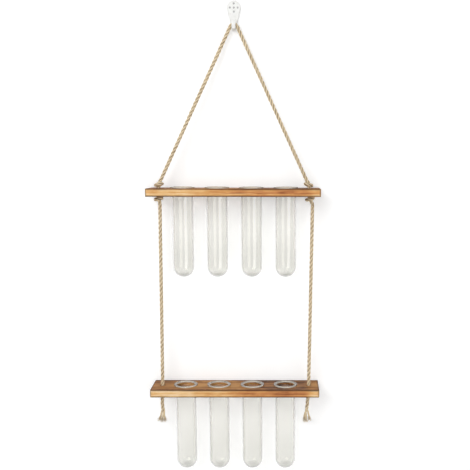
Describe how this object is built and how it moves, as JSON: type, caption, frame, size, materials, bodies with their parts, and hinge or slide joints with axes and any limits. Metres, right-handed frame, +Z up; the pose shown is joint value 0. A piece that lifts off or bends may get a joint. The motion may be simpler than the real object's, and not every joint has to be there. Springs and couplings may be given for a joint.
{
  "type": "hanging propagation vase",
  "caption": "Tiered wall-hung propagation station: wooden shelves on a knotted rope sling hold round-bottomed glass tubes for rooting plant cuttings in water.",
  "frame": {"origin": "centre of the hook's disc on the wall plane", "axes": "+X along the shelves to the viewer's right, +Y into the wall along the nails, +Z up; the front faces -Y"},
  "size_m": [0.25, 0.064, 0.6913],
  "materials": {
    "glass": "clear blown glass, fire-polished rim",
    "wood": "torched pine with dark edges, light fronts",
    "rope": "twisted natural jute",
    "hook_plastic": "white moulded plastic",
    "nail_steel": "bright steel pins"
  },
  "bodies": {
    "wall_hook": {"wall_hook": "hook_plastic", "hook_nails": "nail_steel"},
    "rope_bend": {"rope_over_hook": "rope"},
    "upper_tier": {"upper_shelf": "wood", "upper_knots": "rope", "under_knots": "rope", "rope_leg_left": "rope", "rope_leg_right": "rope"},
    "rope_necks": {"rope_neck_left": "rope", "rope_neck_right": "rope"},
    "drop_left": {"drop_rope_left": "rope"},
    "drop_right": {"drop_rope_right": "rope"},
    "lower_tier": {"lower_shelf": "wood", "stopper_knots": "rope", "rope_tail_left": "rope", "rope_tail_right": "rope"},
    "upper_tube_1": {"upper_tube_1": "glass"},
    "upper_tube_2": {"upper_tube_2": "glass"},
    "upper_tube_3": {"upper_tube_3": "glass"},
    "upper_tube_4": {"upper_tube_4": "glass"},
    "lower_tube_1": {"lower_tube_1": "glass"},
    "lower_tube_2": {"lower_tube_2": "glass"},
    "lower_tube_3": {"lower_tube_3": "glass"},
    "lower_tube_4": {"lower_tube_4": "glass"}
  },
  "joints": [
    {"name": "hang_swing", "type": "hinge", "parent": "wall_hook", "child": "rope_bend", "pos_m": [0, -0.00725, -0.0298], "axis": [0, 1, 0], "range_deg": [-10, 10]},
    {"name": "pull_forward", "type": "hinge", "parent": "rope_bend", "child": "upper_tier", "pos_m": [0, -0.00702, -0.02736], "axis": [-1, 0, 0], "range_deg": [0, 20]},
    {"name": "lower_pull", "type": "hinge", "parent": "upper_tier", "child": "rope_necks", "pos_m": [0, -0.028, -0.28423], "axis": [-1, 0, 0], "range_deg": [0, 20]},
    {"name": "lower_sway", "type": "hinge", "parent": "rope_necks", "child": "drop_left", "pos_m": [-0.11, -0.028, -0.29123], "axis": [0, 1, 0], "range_deg": [-5, 5]},
    {"name": "right_drop_sway", "type": "hinge", "parent": "rope_necks", "child": "drop_right", "pos_m": [0.11, -0.028, -0.29123], "axis": [0, 1, 0], "range_deg": [-5, 5]},
    {"name": "lower_shelf_level", "type": "hinge", "parent": "drop_left", "child": "lower_tier", "pos_m": [-0.11, -0.028, -0.5513], "axis": [0, 1, 0], "range_deg": [-5, 5]},
    {"name": "upper_tube_1_lift", "type": "slide", "parent": "upper_tier", "child": "upper_tube_1", "axis": [0, 0, 1], "range_m": [0, 0.03]},
    {"name": "upper_tube_2_lift", "type": "slide", "parent": "upper_tier", "child": "upper_tube_2", "axis": [0, 0, 1], "range_m": [0, 0.134]},
    {"name": "upper_tube_3_lift", "type": "slide", "parent": "upper_tier", "child": "upper_tube_3", "axis": [0, 0, 1], "range_m": [0, 0.134]},
    {"name": "upper_tube_4_lift", "type": "slide", "parent": "upper_tier", "child": "upper_tube_4", "axis": [0, 0, 1], "range_m": [0, 0.03]},
    {"name": "lower_tube_1_lift", "type": "slide", "parent": "lower_tier", "child": "lower_tube_1", "axis": [0, 0, 1], "range_m": [0, 0.134]},
    {"name": "lower_tube_2_lift", "type": "slide", "parent": "lower_tier", "child": "lower_tube_2", "axis": [0, 0, 1], "range_m": [0, 0.134]},
    {"name": "lower_tube_3_lift", "type": "slide", "parent": "lower_tier", "child": "lower_tube_3", "axis": [0, 0, 1], "range_m": [0, 0.134]},
    {"name": "lower_tube_4_lift", "type": "slide", "parent": "lower_tier", "child": "lower_tube_4", "axis": [0, 0, 1], "range_m": [0, 0.134]}
  ],
  "couplings": [
    {"joint": "right_drop_sway", "follows": "lower_sway", "ratio": 1},
    {"joint": "lower_shelf_level", "follows": "lower_sway", "ratio": -1}
  ]
}
